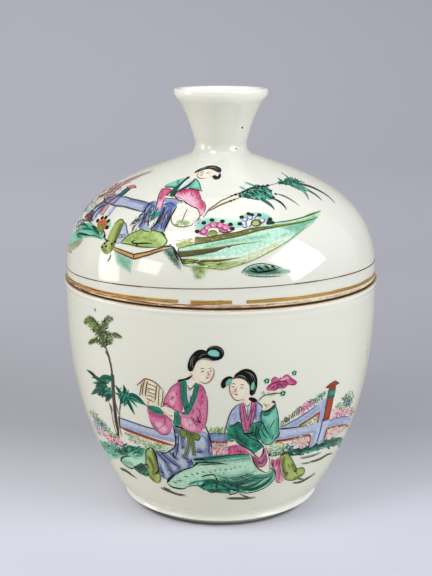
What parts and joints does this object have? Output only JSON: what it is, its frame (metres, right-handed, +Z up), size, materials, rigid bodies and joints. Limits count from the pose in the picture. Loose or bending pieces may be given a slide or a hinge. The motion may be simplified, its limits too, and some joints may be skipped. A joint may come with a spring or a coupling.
{
  "type": "round covered box",
  "caption": "Round porcelain covered box: deep bowl on a turned foot ring, domed lift-off cover with a locating flange and a hollow trumpet knob.",
  "frame": {"origin": "centre of the foot ring's standing face, on the table", "axes": "+Z up along the axis of revolution; -Y is the side with the main painted scene"},
  "size_m": [0.1484, 0.1484, 0.1982],
  "materials": {
    "bowl_porcelain": "glossy clear porcelain glaze with overglaze enamels, unglazed foot and rim edges",
    "cover_porcelain": "glossy clear porcelain glaze with overglaze enamels and a worn gilt band"
  },
  "bodies": {
    "bowl": {"bowl": "bowl_porcelain"},
    "cover": {"cover": "cover_porcelain"}
  },
  "joints": [
    {"name": "cover_lift", "type": "slide", "parent": "bowl", "child": "cover", "axis": [0, 0, 1], "range_m": [0, 0.12]}
  ]
}
